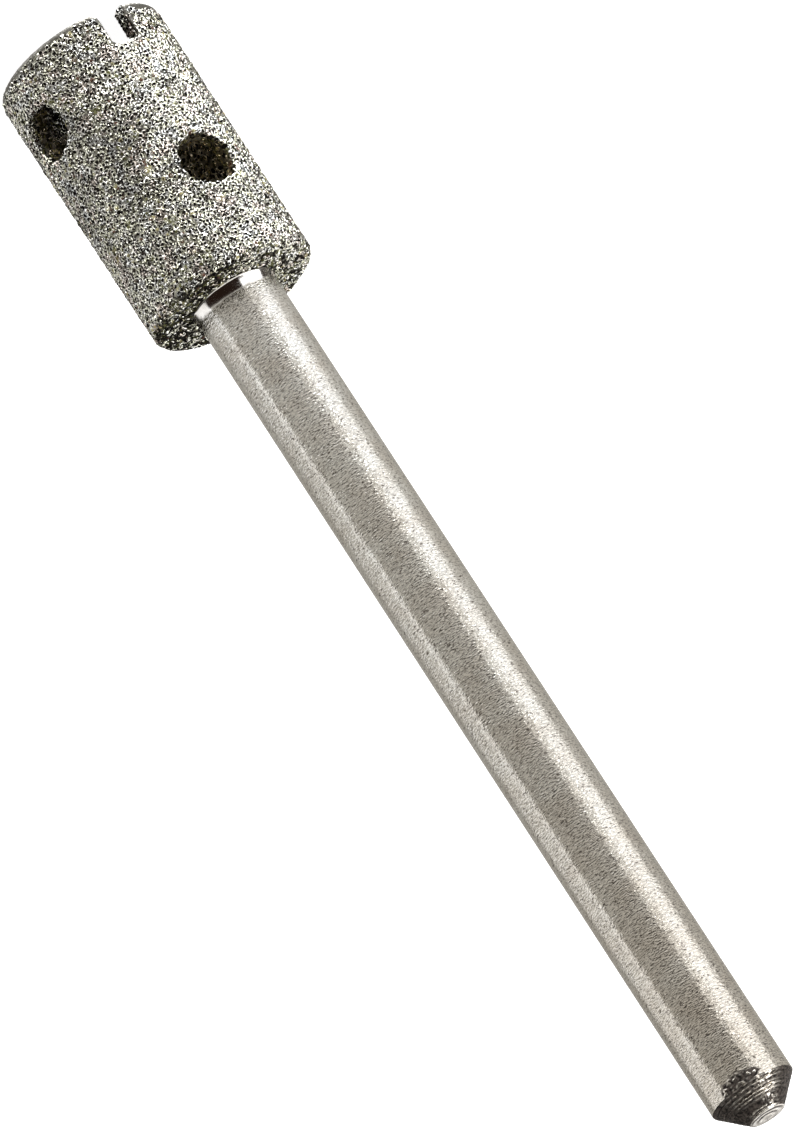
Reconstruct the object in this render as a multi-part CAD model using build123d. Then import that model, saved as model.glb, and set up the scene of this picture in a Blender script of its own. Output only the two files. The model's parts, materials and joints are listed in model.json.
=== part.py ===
from build123d import *
import os
from math import hypot

# Hollow core drill bit for glass, in millimetres.
# It stands on its cutting rim: the rim lies on Z = 0, the axis is Z and the shank points up.
# Turns are in degrees about +Z, counted from -Y: a positive turn goes towards +X.

# Whole bit
overall_length = 45.8

# Barrel, over its grit
barrel_diameter = 6.4
barrel_length = 10.7
bore_diameter = 4.8
floor_thickness = 2.1
rim_rounding = 0.12
end_rounding = 0.28
bore_corner_rounding = 0.35

# Ports drilled right across the barrel, one pass near the rim and one nearer the floor
low_port_diameter = 1.85
low_port_height = 2.58
low_port_turn = 49.5
high_port_diameter = 2.0
high_port_height = 6.7
high_port_turn = -37.0
port_edge_rounding = 0.12

# Slot sawn into one side of the rim: its corner towards the low port is worn round, the other one is nearly sharp
slot_width = 1.06
slot_depth = 1.42
slot_turn = -34.5
slot_end_rounding = 0.1
worn_corner_rounding = 0.3
sharp_corner_rounding = 0.1

# Shank, turned down to a thinner seat that goes through the barrel's floor
shank_diameter = 3.175
seat_diameter = 2.7
seat_end_chamfer = 0.2

# Turned cone on the shank's free end, with the rings that the turning tool left
cone_height = 0.95
cone_end_diameter = 1.34
ring_count = 6
ring_depth = 0.045
crown_height = 0.05

# Filler metal: it fills the gap round the seat and ends in a fillet between the barrel's end face and the shank
braze_gap = 0.04
braze_toe_diameter = 3.3
braze_height = 0.42

# Sizes that follow from these
barrel_radius = barrel_diameter / 2
bore_radius = bore_diameter / 2
shank_radius = shank_diameter / 2
seat_radius = seat_diameter / 2
seat_hole_radius = seat_radius + braze_gap
floor_height = barrel_length - floor_thickness
shoulder_height = barrel_length + braze_height
cone_end_radius = cone_end_diameter / 2
cone_top = overall_length - crown_height
cone_base = cone_top - cone_height


def corner(profile, radius, height):
    """The corner of a turned profile at this radius and height."""
    return profile.vertices().sort_by_distance((radius, height, 0))[0]


def turned_cup():
    """The barrel as it comes off the lathe: wall, floor and the hole that the shank is seated in."""
    with BuildSketch(Plane.XZ) as profile:
        with BuildLine():
            Polyline(
                (bore_radius, 0),
                (barrel_radius, 0),
                (barrel_radius, barrel_length),
                (seat_hole_radius, barrel_length),
                (seat_hole_radius, floor_height),
                (bore_radius, floor_height),
                close=True,
            )
        make_face()
        fillet([corner(profile, bore_radius, 0), corner(profile, barrel_radius, 0)], rim_rounding)
        fillet(corner(profile, barrel_radius, barrel_length), end_rounding)
        fillet(corner(profile, bore_radius, floor_height), bore_corner_rounding)
    return revolve(profile.sketch, Axis.Z)


def port(diameter, height, turn):
    """A drill's path right across the barrel."""
    drill = Cylinder(diameter / 2, 2 * barrel_diameter, rotation=(90, 0, 0))
    return Rot(0, 0, turn) * Pos(0, 0, height) * drill


def slot():
    """The saw's path through one side of the wall, with a flared mouth that rounds the rim's two corners."""
    half = slot_width / 2
    worn = half + worn_corner_rounding
    sharp = half + sharp_corner_rounding
    with BuildSketch(Plane.XZ) as kerf:
        with BuildLine():
            TangentArc((half, worn_corner_rounding), (worn, 0), tangent=(0, -1))
            Polyline((worn, 0), (worn, -rim_rounding), (-sharp, -rim_rounding), (-sharp, 0))
            TangentArc((-half, sharp_corner_rounding), (-sharp, 0), tangent=(0, -1))
            Polyline(
                (-half, sharp_corner_rounding),
                (-half, slot_depth),
                (half, slot_depth),
                (half, worn_corner_rounding),
            )
        make_face()
        fillet([corner(kerf, -half, slot_depth), corner(kerf, half, slot_depth)], slot_end_rounding)
    return Rot(0, 0, slot_turn) * extrude(kerf.sketch, barrel_diameter)


def barrel():
    """The cutting head, drilled, with the ports' outer edges rounded by the grit, and sawn."""
    cup = turned_cup()
    low_port = port(low_port_diameter, low_port_height, low_port_turn)
    high_port = port(high_port_diameter, high_port_height, high_port_turn)
    drilled = cup - low_port - high_port
    mid_wall = (bore_radius + barrel_radius) / 2
    edges = new_edges(cup, combined=drilled)
    outer_edges = [edge for edge in edges if hypot((edge @ 0).X, (edge @ 0).Y) > mid_wall]
    return fillet(outer_edges, port_edge_rounding) - slot()


def shank():
    """The pin, from its seat in the barrel's floor to the crown of its turned cone."""
    ring_height = cone_height / ring_count
    ring_step = (shank_radius - cone_end_radius) / ring_count
    with BuildSketch(Plane.XZ) as profile:
        with BuildLine():
            Polyline(
                (0, overall_length),
                (0, floor_height),
                (seat_radius - seat_end_chamfer, floor_height),
                (seat_radius, floor_height + seat_end_chamfer),
                (seat_radius, shoulder_height),
                (shank_radius, shoulder_height),
                (shank_radius, cone_base),
            )
            for ring in range(ring_count):
                low = cone_base + ring * ring_height
                outer = shank_radius - ring * ring_step
                Polyline((outer, low), (outer - ring_depth, low), (outer - ring_step, low + ring_height))
            TangentArc((0, overall_length), (cone_end_radius, cone_top), tangent=(1, 0))
        make_face()
    return revolve(profile.sketch, Axis.Z)


def braze():
    """The filler metal: a thin sleeve round the seat, under a fillet that runs tangent into the shank."""
    toe_radius = braze_toe_diameter / 2
    with BuildSketch(Plane.XZ) as profile:
        with BuildLine():
            TangentArc((shank_radius, shoulder_height), (toe_radius, barrel_length), tangent=(0, -1))
            Polyline(
                (toe_radius, barrel_length),
                (seat_hole_radius, barrel_length),
                (seat_hole_radius, floor_height),
                (seat_radius, floor_height),
                (seat_radius, shoulder_height),
                (shank_radius, shoulder_height),
            )
        make_face()
    return revolve(profile.sketch, Axis.Z)


os.makedirs("parts", exist_ok=True)
export_step(barrel(), "parts/barrel.step")
export_step(shank(), "parts/shank.step")
export_step(braze(), "parts/braze.step")
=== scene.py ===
import json
import math
import random

import bmesh
import bpy
from mathutils import Euler, Matrix, Vector, noise


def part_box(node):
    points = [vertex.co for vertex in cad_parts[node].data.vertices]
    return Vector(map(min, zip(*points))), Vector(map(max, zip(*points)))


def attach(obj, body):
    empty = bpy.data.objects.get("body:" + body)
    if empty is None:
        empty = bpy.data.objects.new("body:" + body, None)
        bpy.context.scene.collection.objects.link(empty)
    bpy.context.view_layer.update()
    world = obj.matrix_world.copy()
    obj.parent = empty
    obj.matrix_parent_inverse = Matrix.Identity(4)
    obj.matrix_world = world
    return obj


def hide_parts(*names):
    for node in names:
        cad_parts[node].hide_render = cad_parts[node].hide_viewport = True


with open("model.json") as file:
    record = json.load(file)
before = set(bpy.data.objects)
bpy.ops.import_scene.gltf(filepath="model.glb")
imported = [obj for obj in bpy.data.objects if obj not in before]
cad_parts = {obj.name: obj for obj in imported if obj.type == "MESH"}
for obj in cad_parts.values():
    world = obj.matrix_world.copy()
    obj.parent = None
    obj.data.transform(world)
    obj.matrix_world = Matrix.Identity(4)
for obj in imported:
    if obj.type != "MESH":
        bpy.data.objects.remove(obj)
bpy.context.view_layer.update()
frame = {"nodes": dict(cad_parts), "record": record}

# Hollow core drill bit for glass. Lengths in the making of the pieces are in millimetres, as on a drawing, and a
# finished mesh is scaled to metres. Turns are counted about +Z from -Y, the side that the camera sees, towards -X.
METRE = 1000.0
BODY = "root"

# Sizes that the frame gives
mounts = {mount["name"]: mount for mount in frame["record"]["mounts"]}
shank_radius = mounts["shank"]["dims"]["r_mm"]
shank_middle = mounts["shank"]["pos_m"][2] * METRE
shank_length = mounts["shank"]["dims"]["length_mm"]
bore_radius = mounts["core_bore"]["dims"]["r_mm"]
shoulder_height = shank_middle - shank_length / 2
cone_base = shank_middle + shank_length / 2
barrel_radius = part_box("barrel")[1].x * METRE
barrel_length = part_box("barrel")[1].z * METRE
floor_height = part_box("shank")[0].z * METRE
overall_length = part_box("shank")[1].z * METRE
toe_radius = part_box("braze")[1].x * METRE

# Sizes of the slot and the rim
slot_turn = math.radians(34.5)
slot_width = 1.06
slot_depth = 1.42
rim_rounding = 0.12
worn_corner = 0.3

# The photograph's view of the bit
image_height = 1133
focal_length_px = 10000
camera_distance = 343.433
camera_tilt = math.radians(18.98)
camera_roll = math.radians(146.95)
aim_right = 0.567
aim_down = 0.341
sensor_width = 36.0

# The floor, in metres, and the flag under the rim
floor_half_width = 0.6
flag_height = 0.02
flag_sides = 64


# Camera, floor and light

def photo_camera():
    """The camera at the photograph's angle: the bit lies across the picture, rim at the upper left."""
    camera = bpy.data.objects.new("photo_camera", bpy.data.cameras.new("photo_camera"))
    camera.data.sensor_width = sensor_width
    camera.data.lens = focal_length_px * camera.data.sensor_width / image_height
    camera.data.clip_start = 0.01
    camera.data.clip_end = 10.0
    turn = Matrix.Rotation(math.pi / 2 - camera_tilt, 3, "X") @ Matrix.Rotation(camera_roll, 3, "Z")
    right, up, back = turn.col
    place = Vector((0, 0, overall_length / 2)) + back * camera_distance - right * aim_right + up * aim_down
    camera.matrix_world = Matrix.Translation(place / METRE) @ turn.to_4x4()
    bpy.context.scene.collection.objects.link(camera)
    bpy.context.scene.camera = camera


def add(tree, kind, **settings):
    """A new shader node, with its properties set."""
    node = tree.nodes.new(kind)
    for name, value in settings.items():
        setattr(node, name, value)
    return node


def math_node(tree, operation, first, second=None):
    """The result of one sum on a socket and a number, or on two sockets."""
    node = add(tree, "ShaderNodeMath", operation=operation)
    for socket, value in zip(node.inputs, (first, second)):
        if value is None:
            continue
        if isinstance(value, (int, float)):
            socket.default_value = value
        else:
            tree.links.new(value, socket)
    return node.outputs[0]


def ramp(tree, factor, stops, interpolation="LINEAR"):
    """A colour ramp's colour. Stops are pairs of a position and a colour or a grey."""
    node = add(tree, "ShaderNodeValToRGB")
    node.color_ramp.interpolation = interpolation
    elements = node.color_ramp.elements
    while len(elements) < len(stops):
        elements.new(1.0)
    for element, (position, shade) in zip(elements, stops):
        element.position = position
        red, green, blue = (shade,) * 3 if isinstance(shade, (int, float)) else shade
        element.color = (red, green, blue, 1.0)
    tree.links.new(factor, node.inputs["Fac"])
    return node.outputs["Color"]


def blend_colours(tree, factor, first, second, blend_type="MIX"):
    """One colour laid over another by a factor."""
    node = add(tree, "ShaderNodeMix", data_type="RGBA", blend_type=blend_type)
    for socket, value in ((node.inputs[0], factor), (node.inputs[6], first), (node.inputs[7], second)):
        if isinstance(value, (int, float)):
            socket.default_value = value
        elif isinstance(value, tuple):
            socket.default_value = (*value, 1.0)
        else:
            tree.links.new(value, socket)
    return node.outputs[2]


def band(tree, value, low, high):
    """Rises smoothly from 0 at low to 1 at high."""
    node = add(tree, "ShaderNodeMapRange", interpolation_type="SMOOTHSTEP")
    node.inputs["From Min"].default_value = low
    node.inputs["From Max"].default_value = high
    tree.links.new(value, node.inputs["Value"])
    return node.outputs["Result"]


def azimuth_share(azimuth):
    """Where an azimuth in degrees, from -180 to 180, lies on a ramp round the room."""
    return (azimuth + 180) / 360


def around(*stops):
    """Stops of a ring of light: each is an azimuth in degrees, from -180 to 180, and a level. Low levels are brown,
    middle ones warm and high ones white."""
    ring = []
    for azimuth, level in stops:
        brown = min(max((0.08 - level) / 0.06, 0.0), 1.0)
        white = min(max((level - 0.55) / 0.5, 0.0), 1.0)
        warm = Vector((1.0, 0.965, 0.885))
        tint = warm.lerp(Vector((1.0, 0.55, 0.38)), brown).lerp(Vector((1.0, 1.0, 1.0)), white)
        ring.append((azimuth_share(azimuth), tuple(level * tint)))
    return ring


def studio():
    """A studio round the bit: pale walls low down, a dark camera side above them and a tall soft box at the right."""
    world = bpy.data.worlds.new("studio")
    world.use_nodes = True
    tree = world.node_tree
    tree.nodes.clear()
    direction = add(tree, "ShaderNodeTexCoord").outputs["Generated"]
    split = add(tree, "ShaderNodeSeparateXYZ")
    tree.links.new(direction, split.inputs[0])
    x, y, height = split.outputs
    turn = math_node(tree, "ARCTAN2", math_node(tree, "MULTIPLY", x, -1.0), math_node(tree, "MULTIPLY", y, -1.0))
    turn = math_node(tree, "MULTIPLY_ADD", turn, 1 / (2 * math.pi))
    turn.node.inputs[2].default_value = 0.5
    low = ramp(tree, turn, around(
        (-180, 0.41), (-135, 0.41), (-108, 0.47), (-88, 0.50), (-76, 0.46), (-73, 1.5), (-69, 1.5), (-67, 0.47),
        (-45, 0.49), (-10, 0.56), (14, 0.66), (36, 0.70), (49, 0.72), (53, 1.09), (84, 1.09), (88, 0.82),
        (112, 0.68), (135, 0.48), (180, 0.41),
    ))
    eye_level = ramp(tree, turn, around(
        (-180, 0.4), (-150, 0.2), (-122, 0.2), (-116, 1.2), (-72, 1.2), (-68, 0.018), (31, 0.018), (35, 2.2),
        (90, 2.2), (94, 0.03), (140, 0.2), (180, 0.3),
    ))
    above = ramp(tree, turn, around(
        (-180, 1.1), (-163, 0.5), (-150, 0.15), (-110, 0.12), (-72, 0.1), (-60, 0.018), (46, 0.018),
        (54, 4.4), (84, 3.8), (98, 0.1), (140, 0.3), (155, 2.5), (180, 1.1),
    ))
    below = ramp(tree, turn, around(
        (-180, 0.1), (-120, 0.9), (-90, 2.3), (-60, 2.3), (-30, 1.3), (0, 1.1), (20, 1.7), (36, 4.5), (50, 10.5),
        (80, 10.5), (100, 9.0), (120, 5.5), (150, 2.8), (180, 0.1),
    ))
    room = blend_colours(tree, band(tree, height, -0.68, -0.56), below, low)
    sill = ramp(tree, turn, [
        (azimuth_share(-122), 0.03), (azimuth_share(-116), 0.0), (azimuth_share(-72), 0.0), (azimuth_share(-70), 0.15),
        (azimuth_share(0), 0.03), (azimuth_share(35), 0.03), (azimuth_share(38), 0.12), (azimuth_share(50), 0.12),
        (azimuth_share(56), 0.06),
    ])
    room = blend_colours(tree, band(tree, math_node(tree, "SUBTRACT", height, sill), -0.29, -0.22), room, eye_level)
    room = blend_colours(tree, band(tree, height, 0.12, 0.22), room, above)
    room = blend_colours(tree, band(tree, height, 0.84, 0.92), room, (1.2, 1.18, 1.12))
    background = add(tree, "ShaderNodeBackground")
    tree.links.new(room, background.inputs["Color"])
    background.inputs["Strength"].default_value = 1.22
    output = add(tree, "ShaderNodeOutputWorld")
    tree.links.new(background.outputs[0], output.inputs["Surface"])
    bpy.context.scene.world = world


def light_table():
    """The plain pale floor. The bit's metal mirrors the studio, not the floor."""
    bm = bmesh.new()
    bmesh.ops.create_grid(bm, x_segments=1, y_segments=1, size=floor_half_width)
    floor = finish_piece("light_table", bm, 1.0)
    material, _, shader = new_material("pale_table")
    shader.inputs["Base Color"].default_value = (0.8, 0.8, 0.8, 1.0)
    shader.inputs["Roughness"].default_value = 0.9
    shader.inputs["Emission Color"].default_value = (1.0, 1.0, 1.0, 1.0)
    shader.inputs["Emission Strength"].default_value = 0.93
    floor.data.materials.append(material)
    floor.visible_glossy = False


def bore_flag():
    """A dull flag between the floor and the rim: it keeps the studio's light from coming up into the bore."""
    bm = bmesh.new()
    bmesh.ops.create_circle(bm, cap_ends=True, segments=flag_sides, radius=bore_radius)
    bmesh.ops.translate(bm, vec=(0, 0, flag_height), verts=bm.verts)
    flag = finish_piece("bore_flag", bm)
    material, _, shader = new_material("dull_flag")
    shader.inputs["Base Color"].default_value = (0.05, 0.045, 0.035, 1.0)
    shader.inputs["Roughness"].default_value = 0.9
    flag.data.materials.append(material)
    flag.visible_camera = False


# Making pieces

def finish_piece(name, bm, scale=1 / METRE):
    """A finished object from a bmesh, scaled to metres, at the origin."""
    bmesh.ops.scale(bm, vec=(scale,) * 3, verts=bm.verts)
    mesh = bpy.data.meshes.new(name)
    bm.to_mesh(mesh)
    bm.free()
    piece = bpy.data.objects.new(name, mesh)
    bpy.context.scene.collection.objects.link(piece)
    return piece


def hand_over(piece, slot, material, *nodes):
    """Gives a finished piece its material and its body, and hides the frame's parts for the nodes that it stands for.
    The slot is not used.
    """
    piece.data.materials.clear()
    piece.data.materials.append(material)
    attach(piece, BODY)
    if nodes:
        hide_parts(*nodes)


def smooth(bm, crease=40):
    """Smooth faces, with a sharp edge wherever the surface turns by more than the crease, in degrees."""
    for face in bm.faces:
        face.smooth = True
    for edge in bm.edges:
        edge.smooth = edge.calc_face_angle(math.pi) < math.radians(crease)


def turned(profile, steps):
    """A bmesh of a profile, given as (radius, height) points, turned about Z."""
    bm = bmesh.new()
    points = [bm.verts.new((radius, 0, height)) for radius, height in profile]
    edges = [bm.edges.new(pair) for pair in zip(points, points[1:])]
    bmesh.ops.spin(
        bm, geom=points + edges, cent=(0, 0, 0), axis=(0, 0, 1), angle=2 * math.pi, steps=steps, use_merge=True
    )
    bmesh.ops.remove_doubles(bm, verts=bm.verts, dist=1e-5)
    bmesh.ops.recalc_face_normals(bm, faces=bm.faces)
    return bm


def new_material(name):
    """A material, its node tree and its main shader."""
    material = bpy.data.materials.new(name)
    material.use_nodes = True
    tree = material.node_tree
    return material, tree, tree.nodes["Principled BSDF"]


def object_place(tree, scale=(1.0, 1.0, 1.0)):
    """Places on the object in millimetres, stretched by a scale."""
    mapping = add(tree, "ShaderNodeMapping")
    mapping.inputs["Scale"].default_value = tuple(METRE * value for value in scale)
    tree.links.new(add(tree, "ShaderNodeTexCoord").outputs["Object"], mapping.inputs["Vector"])
    return mapping.outputs[0]


def noise_value(tree, place, scale, detail=2.0, roughness=0.5):
    """Soft random clouds over the places, from 0 to 1 and about 0.5 in the middle."""
    node = add(tree, "ShaderNodeTexNoise")
    node.inputs["Scale"].default_value = scale
    node.inputs["Detail"].default_value = detail
    node.inputs["Roughness"].default_value = roughness
    tree.links.new(place, node.inputs["Vector"])
    return node.outputs["Fac"]


def bumped(tree, shader, height, depth_mm):
    """Connects a height, in parts of the depth, as bump."""
    node = add(tree, "ShaderNodeBump")
    node.inputs["Strength"].default_value = 1.0
    node.inputs["Distance"].default_value = depth_mm / METRE
    tree.links.new(height, node.inputs["Height"])
    tree.links.new(node.outputs[0], shader.inputs["Normal"])


# The barrel: nickel plating, and the crushed crystals that it holds

plating_depth = 0.055
plating_cell = 0.078
plating_unevenness = 0.012
crystal_spacing = 0.106
crystal_radius = 0.0515
tries_for_a_crystal = 7

# The smooth land without crystals, along the rim and round the slot
land_width = 0.11
land_depth = 0.015
land_fade = 0.05

# In the bore and the ports the crystals lie further apart, and fewer of the collars are bright: the rest are painted
# dark, as painted shade
inside_share = 0.14
inside_bright_share = 0.6

# How far into the wall the dark grows, and how far under the end face it starts
dark_fade = 0.3
end_thickness = 0.6

# A crystal's shape and its collar of plating, in crystal radii, with heights over the plating's surface
crystal_flatness = 0.5
crystal_middle = 0.2
bare_radius = 1.4
plated_radius = 1.3
collar_sides = 6
collar_jitter = 0.1
collar_foot = (2.1, -0.3)
collar_crest = (1.66, 0.36)
collar_lip = (1.33, 0.12)

# A crystal's corners, round its girdle and round its top: how many, how near and how far out, how low and how high
crystal_rings = ((6, 0.85, 1.1, -0.3, 0.3), (3, 0.3, 0.65, 0.7, 1.0))

# How many shapes there are of each kind
shape_counts = (("bare", 16), ("plated", 2), ("socket", 5))

# Where each finish starts on the scale of tones that the crystals and collars are coloured by
NICKEL = 0.0
# The hollows in the collars take the near-black SOCKET tone: painted shade in the hollows.
SOCKET = 0.5
BLACK = 0.55
GREY = 0.7
OLIVE = 0.8
STRAW = 0.9
BROWN = 0.96


def plating_bed():
    """The barrel's surface between the crystals, from the frame's own barrel: a little under it, evenly meshed."""
    bm = bmesh.new()
    bm.from_mesh(frame["nodes"]["barrel"].data)
    bmesh.ops.scale(bm, vec=(METRE,) * 3, verts=bm.verts)
    bmesh.ops.remove_doubles(bm, verts=bm.verts, dist=1e-4)
    bm.normal_update()
    for vertex in bm.verts:
        depth = plating_depth + (land_depth - plating_depth) * on_land(vertex.co)
        vertex.co -= vertex.normal * vertex.calc_shell_factor() * depth
    bed = finish_piece("bed", bm, 1.0)
    remesh = bed.modifiers.new("even", "REMESH")
    remesh.mode = "VOXEL"
    remesh.voxel_size = plating_cell
    even = bpy.data.meshes.new_from_object(bed.evaluated_get(bpy.context.evaluated_depsgraph_get()))
    bpy.data.objects.remove(bed)
    bm = bmesh.new()
    bm.from_mesh(even)
    return bm


def spread_crystals(bm, rng):
    """Places for the crystals on a surface, no two nearer than the spacing, each with its normal."""
    cell = crystal_spacing
    taken = {}
    places = []
    faces = list(bm.faces)
    weights = [face.calc_area() * (inside_share if in_the_dark(face.verts[0].co) > 0.7 else 1.0) for face in faces]
    tries = int(sum(weights) / cell ** 2 * tries_for_a_crystal)
    for face in rng.choices(faces, weights=weights, k=tries):
        corners = [vertex.co for vertex in face.verts]
        across, along = rng.random(), rng.random()
        place = corners[0].lerp(corners[1], across).lerp(corners[-1].lerp(corners[-2], across), along)
        key = (int(place.x // cell), int(place.y // cell), int(place.z // cell))
        near = (
            other
            for dx in (-1, 0, 1) for dy in (-1, 0, 1) for dz in (-1, 0, 1)
            for other in taken.get((key[0] + dx, key[1] + dy, key[2] + dz), ())
        )
        if any((place - other).length_squared < cell ** 2 for other in near):
            continue
        taken.setdefault(key, []).append(place)
        places.append((place, face.normal.copy()))
    return places


def add_crystal(bm, rng, radius, middle):
    """One crushed crystal: the hull of a few corners round its girdle and three round its top."""
    points = []
    for sides, near, far, low, high in crystal_rings:
        start = rng.uniform(0, 2 * math.pi)
        for side in range(sides):
            turn = start + (side + rng.uniform(-0.3, 0.3)) * 2 * math.pi / sides
            out = radius * rng.uniform(near, far)
            height = middle + radius * crystal_flatness * rng.uniform(low, high)
            points.append(bm.verts.new((out * math.cos(turn), out * math.sin(turn), height)))
    faces = [face for face in bmesh.ops.convex_hull(bm, input=points)["geom"] if isinstance(face, bmesh.types.BMFace)]
    bmesh.ops.recalc_face_normals(bm, faces=faces)


def add_collar(bm, rng):
    """The ring of plating that grew round a crystal: a low cone with a hollow in its top."""
    depth = collar_crest[1] - collar_foot[1]
    ring = bmesh.ops.create_cone(
        bm, segments=collar_sides, radius1=collar_foot[0], radius2=collar_crest[0], depth=depth, cap_ends=True,
        matrix=Matrix.Translation((0, 0, collar_foot[1] + depth / 2)),
    )["verts"]
    caps = sorted({face for vertex in ring for face in vertex.link_faces if len(face.verts) == collar_sides},
                  key=lambda face: face.calc_center_median().z)
    bmesh.ops.inset_individual(bm, faces=[caps[1]], thickness=collar_crest[0] - collar_lip[0])
    for vertex in caps[1].verts:
        vertex.co.z = collar_lip[1]
    bmesh.ops.delete(bm, geom=[caps[0]], context="FACES_ONLY")
    for vertex in bm.verts:
        vertex.co += collar_jitter * Vector((rng.gauss(0, 1), rng.gauss(0, 1), 0.7 * rng.gauss(0, 1)))
    for face in bm.faces:
        face.smooth = True


def grit_shape(rng, kind):
    """A mesh of one crystal in its collar ("bare"), one plated over ("plated") or a collar left empty ("socket").
    With it come its corners, how many of its faces are the collar's, and which of all its faces are the hollow."""
    bm = bmesh.new()
    if kind == "plated":
        add_crystal(bm, rng, plated_radius, 0.0)
    else:
        add_collar(bm, rng)
    collar_faces = len(bm.faces)
    if kind == "bare":
        add_crystal(bm, rng, bare_radius, crystal_middle)
    mesh = bpy.data.meshes.new(kind)
    bm.to_mesh(mesh)
    bm.free()
    mesh.attributes.new("tone", "FLOAT", "FACE")
    corners = [0.0] * (3 * len(mesh.vertices))
    mesh.vertices.foreach_get("co", corners)
    # The hollow's faces, which are painted near-black as shade.
    dark = [len(polygon.vertices) == collar_sides for polygon in mesh.polygons]
    return mesh, corners, collar_faces, dark


def crystal_tone(rng, place, normal):
    """What a bare crystal is like. Olive, straw and brown ones come in patches and are common on the end face and
    inside, and the slot's faces have many grey ones."""
    inside = in_the_dark(place) > 0.7
    along, aside = from_slot_middle(place)
    sawn = along > 0 and abs(aside) < slot_width / 2 + 0.02 and math.hypot(place.x, place.y) < barrel_radius - 0.08
    patch = 0.5 + noise.noise(place * 0.9 + Vector((5, 0, 0))) + 0.8 * (normal.z > 0.7) + 2.0 * inside
    kinds = (
        (BLACK, 0.2 if inside or sawn else 1.0), (GREY, 0.8 if sawn else 0.06), (OLIVE, max(0.7 * patch - 0.3, 0.0)),
        (STRAW, 0.08 * max(patch, 0.0)),
        (BROWN, 0.04 + 0.08 * noise.noise(place * 0.8)),
    )
    low = rng.choices([tone for tone, _ in kinds], weights=[weight for _, weight in kinds])[0]
    high = {BLACK: GREY, GREY: OLIVE, OLIVE: STRAW, STRAW: BROWN, BROWN: 1.0}[low]
    return rng.uniform(low, high - 0.01)


def grit(name, places, shapes, rng, bright_share=1.0):
    """One piece of many crystals in their collars, of which a share is bright. At the rim they're worn level."""
    bm = bmesh.new()
    for place, normal in places:
        mesh, corners, collar_faces, sockets = rng.choice(shapes)
        # Painted shade: on the end face only about half the collars are bright, and fewer towards +X; collars that
        # aren't bright take black to grey tones.
        share = bright_share * (0.55 - 0.06 * place.x if normal.z > 0.7 else 1.0)
        nickel = rng.uniform(NICKEL, SOCKET - 0.01) if rng.random() < share else rng.uniform(BLACK, GREY)
        tones = [crystal_tone(rng, place, normal)] * len(mesh.polygons)
        tones[:collar_faces] = [SOCKET if socket else nickel for socket in sockets[:collar_faces]]
        mesh.attributes["tone"].data.foreach_set("value", tones)
        turn = Euler((math.radians(rng.gauss(0, 12)), math.radians(rng.gauss(0, 12)), rng.uniform(0, 2 * math.pi)))
        lie = normal.to_track_quat("Z", "Y").to_matrix().to_4x4()
        large = crystal_radius * rng.uniform(0.8, 1.2)
        mesh.transform(Matrix.Translation(place) @ lie @ turn.to_matrix().to_4x4() @ Matrix.Scale(large, 4))
        bm.from_mesh(mesh)
        mesh.vertices.foreach_set("co", corners)
    for vertex in bm.verts:
        vertex.co.z = max(vertex.co.z, 0.0)
    return finish_piece(name, bm)


def from_slot_middle(place):
    """How far a place lies along the slot, from the barrel's axis, and aside from the slot's middle."""
    along = -place.x * math.sin(slot_turn) - place.y * math.cos(slot_turn)
    aside = place.x * math.cos(slot_turn) - place.y * math.sin(slot_turn)
    return along, aside


def in_the_dark(place):
    """How far a place is in the bore or in a port: 0 on the outside, 1 inside."""
    across = math.hypot(place.x, place.y)
    wall = barrel_radius if place.z > slot_depth + 0.18 else bore_radius + dark_fade
    return min(max((wall - across) / dark_fade, 0.0), 1.0) if place.z < barrel_length - end_thickness else 0.0


def on_land(place):
    """How far a place is on the smooth land without crystals, along the rim and round the slot: 0 outside, 1 on it.
    It reaches further into the slot on the side of the worn corner."""
    along, aside = from_slot_middle(place)
    if math.hypot(place.x, place.y) < barrel_radius - (0.45 if aside > 0 else 0.15):
        return 0.0
    from_slot = max(abs(aside) - slot_width / 2, place.z - slot_depth) if along > 0 else 1.0
    in_corner = Vector((slot_width / 2 + worn_corner - aside, worn_corner - place.z))
    if along > 0 and min(in_corner) > 0:
        from_slot = min(from_slot, worn_corner - in_corner.length)
    from_edge = min(place.z - rim_rounding, from_slot)
    return min(max((land_width - from_edge) / land_fade + 0.5, 0.0), 1.0)


def barrel():
    """The barrel: its plating, and the crystals on it in four pieces outside and one inside."""
    rng = random.Random(7)
    bed = plating_bed()
    shapes = [grit_shape(rng, kind) for kind, count in shape_counts for _ in range(count)]
    inside, outside = [], []
    for place, normal in spread_crystals(bed, rng):
        if on_land(place) > 0.5 + 0.4 * noise.noise(place * 2.0):
            continue
        (inside if in_the_dark(place) > 0.4 else outside).append((place, normal))
    outside.sort(key=lambda crystal: crystal[0].z)
    quarter = len(outside) // 4
    finish = crystal_finish()
    for name, some in (
        ("grit_by_rim", outside[:quarter]),
        ("grit_low", outside[quarter:2 * quarter]),
        ("grit_high", outside[2 * quarter:3 * quarter]),
        ("grit_by_shank", outside[3 * quarter:]),
    ):
        hand_over(grit(name, some, shapes, rng), "diamond_grit", finish)
    # Inside, fewer collars are bright: painted shade.
    hand_over(grit("grit_inside", inside, shapes, rng, inside_bright_share), "diamond_grit", finish)
    for vertex in bed.verts:
        vertex.co += vertex.normal * plating_unevenness * noise.noise(vertex.co * 9.0)
    smooth(bed)
    land = bed.verts.layers.float.new("land")
    for vertex in bed.verts:
        vertex[land] = on_land(vertex.co)
    hand_over(finish_piece("barrel_plating", bed), "diamond_grit", plating_finish(), "barrel")


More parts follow.
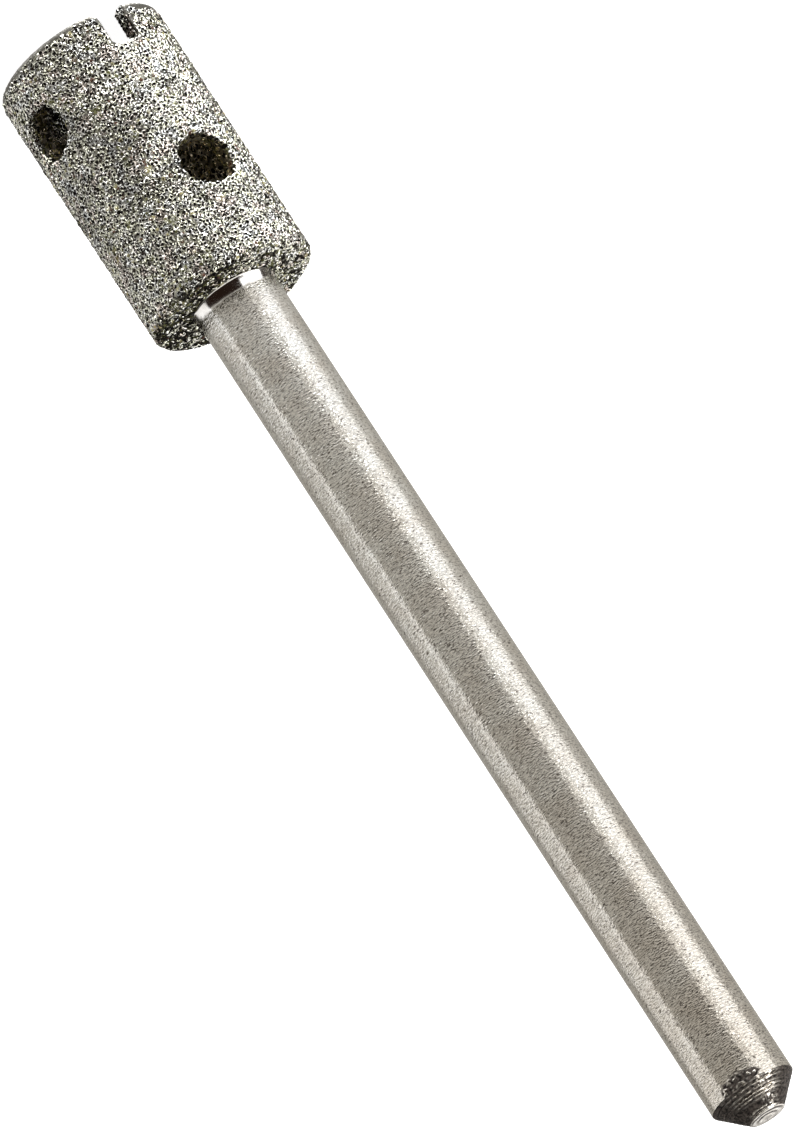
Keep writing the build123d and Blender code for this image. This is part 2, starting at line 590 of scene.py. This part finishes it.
def stains_and_shade(tree, place):
    """What dims and colours the grit, and how far a place is inside: faint patches of olive, straw and rust all over,
    and a brown stain in the bore and the ports that is darker lower down, which is painted shade towards the rim."""
    split = add(tree, "ShaderNodeSeparateXYZ")
    tree.links.new(place, split.inputs[0])
    x, y, height = split.outputs
    squares = [math_node(tree, "MULTIPLY", value, value) for value in (x, y)]
    across = math_node(tree, "SQRT", math_node(tree, "ADD", *squares))
    faint = ramp(tree, noise_value(tree, place, 1.6, 2.0, 0.6), [
        (0.30, (0.86, 0.90, 0.92)), (0.42, (0.97, 0.97, 0.96)), (0.50, (0.90, 0.91, 0.76)), (0.56, (0.98, 0.97, 0.95)),
        (0.66, (0.95, 0.86, 0.80)), (0.75, (0.94, 0.95, 0.97)),
    ])
    broad = ramp(tree, noise_value(tree, place, 0.55, 1.0), [(0.38, 0.72), (0.50, 1.0)])
    colour = blend_colours(tree, 1.0, faint, broad, "MULTIPLY")
    inside = math_node(tree, "MULTIPLY", band(tree, across, barrel_radius - 0.08, bore_radius + 0.4),
                       band(tree, height, barrel_length - 0.5, barrel_length - 0.7))
    inside = math_node(tree, "MULTIPLY", inside, band(tree, height, slot_depth + 0.05, slot_depth + 0.2))
    # Painted shade: the brown stain is darker lower down, towards the rim.
    brown = blend_colours(tree, band(tree, height, 3.5, 5.5), (0.84, 0.75, 0.63), (1.0, 0.90, 0.70))
    return blend_colours(tree, inside, colour, brown), inside


def crystal_finish():
    """Bright nickel collars round crushed crystals, most of them black, some grey, olive, straw or brown."""
    material, tree, shader = new_material("crystals_in_nickel")
    tone = add(tree, "ShaderNodeAttribute", attribute_name="tone").outputs["Fac"]
    # SOCKET is the near-black painted shade of the collars' hollows.
    colour = ramp(tree, tone, [
        (NICKEL, (1.0, 0.99, 0.96)), (NICKEL + 0.2, (0.95, 0.94, 0.91)), (NICKEL + 0.35, (0.85, 0.84, 0.81)),
        (SOCKET, (0.006, 0.005, 0.004)), (BLACK, (0.008, 0.007, 0.006)), (BLACK + 0.08, (0.03, 0.027, 0.022)),
        (GREY, (0.12, 0.115, 0.105)), (OLIVE, (0.07, 0.07, 0.03)), (OLIVE + 0.05, (0.16, 0.16, 0.08)),
        (STRAW, (0.42, 0.38, 0.22)), (BROWN, (0.14, 0.08, 0.06)),
    ], "CONSTANT")
    stain_and_shade, _ = stains_and_shade(tree, object_place(tree))
    tree.links.new(blend_colours(tree, 1.0, colour, stain_and_shade, "MULTIPLY"), shader.inputs["Base Color"])
    shader.inputs["Specular IOR Level"].default_value = 0.03
    tree.links.new(ramp(tree, tone, [(NICKEL, 1.0), (SOCKET, 0.0)], "CONSTANT"), shader.inputs["Metallic"])
    gloss = ramp(tree, tone, [(NICKEL, 0.12), (SOCKET - 0.01, 0.32), (SOCKET, 0.6), (BLACK, 0.6), (1.0, 0.4)])
    tree.links.new(gloss, shader.inputs["Roughness"])
    bumped(tree, shader, noise_value(tree, object_place(tree), 22.0), 0.001)
    return material


def plating_finish():
    """Nickel plating between the crystals: dull in the bore and the ports, dark along the rim's edge."""
    material, tree, shader = new_material("grit_plating")
    place = object_place(tree)
    mottle = noise_value(tree, place, 9.0, 3.0)
    # Painted shade: the plating between the crystals is a darker nickel than the collars on them.
    nickel = ramp(tree, mottle, [(0.35, (0.26, 0.255, 0.24)), (0.65, (0.52, 0.51, 0.48))])
    stain_and_shade, inside = stains_and_shade(tree, place)
    colour = blend_colours(tree, 1.0, nickel, stain_and_shade, "MULTIPLY")
    land = add(tree, "ShaderNodeAttribute", attribute_name="land").outputs["Fac"]
    colour = blend_colours(tree, land, colour, (0.16, 0.155, 0.14))
    # Painted shade: the plating on the end face is darker still.
    split = add(tree, "ShaderNodeSeparateXYZ")
    tree.links.new(place, split.inputs[0])
    end_face = band(tree, split.outputs[2], barrel_length - 0.3, barrel_length - plating_depth - 0.02)
    tree.links.new(blend_colours(tree, end_face, colour, (0.20, 0.19, 0.14)), shader.inputs["Base Color"])
    shader.inputs["Metallic"].default_value = 1.0
    gloss = ramp(tree, mottle, [(0.3, 0.16), (0.7, 0.3)])
    tree.links.new(blend_colours(tree, inside, gloss, (0.55, 0.55, 0.55)), shader.inputs["Roughness"])
    bumped(tree, shader, noise_value(tree, place, 8.5, 2.0), 0.022)
    return material


# The shank

shank_sides = 320
seat_radius = 1.35
seat_chamfer = 0.2

# The shank's foot flares a little into the filler metal, and the stretch before the cone can be burred
foot_flare = 0.004
foot_height = 0.16
burred_length = 0.8

crown_radius = 0.67
crown_height = 0.05
skin_roughness = 0.012
crown_ripple = 0.006

# Rows of faces along the foot, the plain pin, the stretch that can be burred, the cone and the crown
foot_rows = 6
plain_rows = 32
burred_rows = 50
cone_rows = 120
crown_rows = 14

# The cone's grooves: how far along its slope each lies, from the base to the crown, its depth and its lip's shine
cone_grooves = (
    (0.02, 0.03, 0.5), (0.13, 0.045, 0.9), (0.27, 0.035, 0.6), (0.36, 0.04, 0.8), (0.47, 0.045, 0.9),
    (0.57, 0.03, 0.2), (0.84, 0.035, 0.7), (0.94, 0.02, 0.9),
)
groove_ramp = 0.05
groove_step = 0.016
lip_width = 0.034

# The dark burr that the turning raised on the shank's near side, just before the cone
burr_turns = (-36, 25)
burr_heights = (-0.5, 0.2)
burr_arch = 0.24
burr_depth = 0.03


def groove(share, turn):
    """How deep the turned cone is at a share of its slope, and how bright. The grooves waver as they go round."""
    round_place = Vector((math.cos(turn), math.sin(turn), 0.0))
    deepest = 0.0
    brightest = 0.0
    for number, (middle, depth, shine) in enumerate(cone_grooves):
        waver = noise.noise(round_place * 1.6 + Vector((0, 0, 3.1 * number)))
        chatter = noise.noise(round_place * 9.0 + Vector((0, 0, 7.3 * number)))
        offset = share - middle - 0.02 * waver - 0.006 * chatter
        reach = groove_ramp if offset < 0 else groove_step
        deepest = max(deepest, depth * (1 + 0.5 * chatter) * (1 - abs(offset) / reach))
        near = min(1.8 - 1.8 * abs(offset - groove_step) / lip_width, 1.2)
        brightest = max(brightest, near * shine * (1.0 + 1.4 * chatter + 0.6 * waver))
    return deepest, brightest


def band_between(value, low, high):
    """1 in the middle of a range, falling to 0 at its ends."""
    return max(1 - abs(2 * value - low - high) / (high - low), 0.0)


def burr_height(turn, height):
    """How far a place is in the burr: 0 outside its ragged edge, 1 in its middle."""
    degrees = math.degrees(turn)
    across = min(degrees - burr_turns[0], burr_turns[1] - degrees) / 5
    from_middle = (2 * degrees - sum(burr_turns)) / (burr_turns[1] - burr_turns[0])
    along = min(height - burr_heights[0] - burr_arch * from_middle ** 2, burr_heights[1] - height) / 0.07
    ragged = 1.7 * noise.noise(Vector((turn * 10.0, height * 9.0, 4.0)))
    return min(max(min(across, along) + ragged, 0.0), 1.0)


def shank():
    """The pin, with its burr, the wavering grooves of its cone and the arcs on its crown."""
    profile = [
        (0.0, floor_height), (seat_radius - seat_chamfer, floor_height), (seat_radius, floor_height + seat_chamfer),
        (seat_radius, shoulder_height), (shank_radius + foot_flare, shoulder_height),
    ]
    plain_end = cone_base - burred_length
    for row in range(1, foot_rows + 1):
        share = row / foot_rows
        profile.append((shank_radius + foot_flare * (1 - share) ** 2, shoulder_height + foot_height * share))
    foot = shoulder_height + foot_height
    profile += [(shank_radius, foot + (plain_end - foot) * row / plain_rows) for row in range(1, plain_rows + 1)]
    profile += [(shank_radius, plain_end + burred_length * row / burred_rows) for row in range(1, burred_rows + 1)]
    crown_base = overall_length - crown_height
    slope = Vector((crown_radius - shank_radius, crown_base - cone_base))
    for row in range(1, cone_rows + 1):
        share = row / cone_rows
        profile.append((shank_radius + slope.x * share, cone_base + slope.y * share))
    for row in range(1, crown_rows):
        share = row / crown_rows
        profile.append((crown_radius * (1 - share), crown_base + crown_height * (1 - (1 - share) ** 2)))
    profile.append((0.0, overall_length))
    bm = turned(profile, shank_sides)

    # Soot on the burr and the cone, with painted shade: the cone's flanks are dark and its lips are bare only on the
    # near side.
    soot_and_shade = bm.verts.layers.float.new("soot_and_shade")
    inward = Vector((-slope.y, slope.x)).normalized()
    for vertex in bm.verts:
        across = math.hypot(vertex.co.x, vertex.co.y)
        if vertex.co.z < plain_end or across < 0.02:
            continue
        turn = math.atan2(-vertex.co.x, -vertex.co.y)
        out = Vector((vertex.co.x, vertex.co.y, 0)) / across
        share = (vertex.co.z - cone_base) / slope.y
        if share <= 0:
            burr = burr_height(turn, vertex.co.z - cone_base)
            rough = noise.noise(Vector((turn * 11.0, vertex.co.z * 9.0, 0.0)))
            vertex[soot_and_shade] = burr * (1 - min(max(5.0 * (rough - 0.12), 0.0), 0.9))
            vertex.co += out * burr * burr_depth * rough
        elif share < 1 - 1e-6:
            depth, shine = groove(share, turn)
            rough = noise.noise(vertex.co * 9.0)
            flecked = 2.5 * max(rough - 0.1, 0.0) * band_between(math.degrees(turn), 5, 50)
            # The lips are bare and bright only on the near side; elsewhere the cone is dark all round, which on its
            # flanks is painted shade.
            polished = 0.04 + 0.96 * min(max(3.2 * math.cos(turn - 0.1) - 2.0, 0.0), 1.0)
            vertex[soot_and_shade] = min(max(1 - polished * shine - 2 * flecked, 0.0), 1.0)
            vertex.co += (out * inward.x + Vector((0, 0, inward.y))) * (depth + skin_roughness * rough)
        else:
            # On the crown the darkening lies in arcs and is heavier on the near side.
            arc = math.sin(across * 24 + 3.0 * noise.noise(vertex.co * 2.0))
            near_side = max(math.cos(turn), 0.0) * (across > 0.25)
            vertex[soot_and_shade] = min(max(0.2 + 0.35 * arc + near_side * (0.4 + 0.9 * arc), 0.0), 1.0)
            vertex.co.z += crown_ripple * arc * (across < 0.6)
    bm.normal_update()
    smooth(bm)
    hand_over(finish_piece("shank_pin", bm), "nickel_plate", nickel_finish(), "shank")


def nickel_finish():
    """Nickel plate: ripples drawn out round the pin over an orange-peel skin, small dark pits and brownish clouds.
    It's darker and a little browner towards the cone."""
    material, tree, shader = new_material("shank_nickel")
    place = object_place(tree)
    drawn_out = object_place(tree, (1.0, 1.0, 2.6))
    clouds = noise_value(tree, place, 0.9, 3.0)
    colour = ramp(tree, clouds, [(0.35, (0.72, 0.71, 0.68)), (0.7, (0.64, 0.61, 0.565))])
    split = add(tree, "ShaderNodeSeparateXYZ")
    tree.links.new(place, split.inputs[0])
    # Darker and a little browner towards the cone.
    darker_towards_cone = ramp(tree, band(tree, split.outputs[2], shoulder_height, overall_length + 2.0), [
        (0.0, (1.0, 1.0, 1.0)), (0.1, (0.95, 0.945, 0.93)), (0.6, (0.93, 0.915, 0.89)), (1.0, (0.93, 0.895, 0.85)),
    ])
    colour = blend_colours(tree, 1.0, colour, darker_towards_cone, "MULTIPLY")
    grain = ramp(tree, noise_value(tree, drawn_out, 7.0, 2.0, 0.6), [(0.36, 0.76), (0.56, 1.0)])
    colour = blend_colours(tree, 1.0, colour, grain, "MULTIPLY")
    nicks = noise_value(tree, object_place(tree, (1.0, 1.0, 2.4)), 7.5, 2.0, 0.6)
    colour = blend_colours(tree, ramp(tree, nicks, [(0.585, 0.0), (0.65, 1.0)]), colour, (0.15, 0.13, 0.115))
    # Soot from the burr and the cone, which on the cone's flanks is painted shade.
    soot_and_shade = add(tree, "ShaderNodeAttribute", attribute_name="soot_and_shade").outputs["Fac"]
    soot = ramp(tree, noise_value(tree, place, 9.0, 2.0), [(0.35, (0.010, 0.008, 0.007)), (0.7, (0.11, 0.092, 0.08))])
    tree.links.new(blend_colours(tree, soot_and_shade, colour, soot), shader.inputs["Base Color"])
    shader.inputs["Specular IOR Level"].default_value = 0.15
    tree.links.new(ramp(tree, soot_and_shade, [(0.5, 1.0), (0.9, 0.5)]), shader.inputs["Metallic"])
    tree.links.new(ramp(tree, soot_and_shade, [(0.0, 0.07), (0.4, 0.35), (1.0, 0.68)]), shader.inputs["Roughness"])
    ripples = noise_value(tree, drawn_out, 7.0, 2.0, 0.5)
    peel = noise_value(tree, place, 13.0, 1.0, 0.5)
    bumped(tree, shader, math_node(tree, "ADD", ripples, math_node(tree, "MULTIPLY", peel, 0.4)), 0.014)
    return material


# The filler metal

filler_sides = 128
sleeve_radius = 1.39
sleeve_end = 0.05

# The fillet's spread in parts of the solid's, how hollow its curve is, and how its toe lies on the end face
fillet_rows = 16
fillet_spread = 1.4
fillet_hollow = 1.6
fillet_toe = 0.01
toe_drop = 0.02
toe_wander = 0.05


def filler():
    """The sleeve of filler metal round the seat, and the fillet at the shank's foot, with its toe run out unevenly."""
    flare = toe_radius - shank_radius
    rise = shoulder_height - barrel_length
    foot_radius = shank_radius + fillet_spread * flare + fillet_toe
    profile = [
        (sleeve_radius, floor_height), (sleeve_radius, barrel_length - sleeve_end),
        (toe_radius, barrel_length - sleeve_end), (foot_radius, barrel_length - toe_drop),
    ]
    for row in range(fillet_rows + 1):
        share = row / fillet_rows
        out = shank_radius + fillet_spread * flare * (1 - share) ** fillet_hollow
        profile.append((out, barrel_length + rise * share))
    profile += [(seat_radius, shoulder_height), (seat_radius, floor_height), (sleeve_radius, floor_height)]
    bm = turned(profile, filler_sides)
    for vertex in bm.verts:
        across = math.hypot(vertex.co.x, vertex.co.y)
        if across > foot_radius - 0.001:
            spread = 1 + toe_wander * max(-vertex.co.y / across - 0.5, 0.0) * (1 + noise.noise(vertex.co * 4.0))
            vertex.co.x *= spread
            vertex.co.y *= spread
    smooth(bm)
    hand_over(finish_piece("braze_fillet", bm), "filler_metal", filler_finish(), "braze")


def filler_finish():
    """Filler metal that ran smooth and bright."""
    material, tree, shader = new_material("bright_filler")
    place = object_place(tree)
    clouds = noise_value(tree, place, 2.5, 2.0)
    colour = ramp(tree, clouds, [(0.35, (0.70, 0.685, 0.66)), (0.7, (0.60, 0.575, 0.54))])
    tree.links.new(colour, shader.inputs["Base Color"])
    shader.inputs["Metallic"].default_value = 1.0
    tree.links.new(ramp(tree, clouds, [(0.3, 0.1), (0.7, 0.2)]), shader.inputs["Roughness"])
    bumped(tree, shader, noise_value(tree, place, 5.0), 0.004)
    return material


photo_camera()
studio()
light_table()
bore_flag()
barrel()
shank()
filler()

bpy.context.scene.view_settings.view_transform = "Standard"
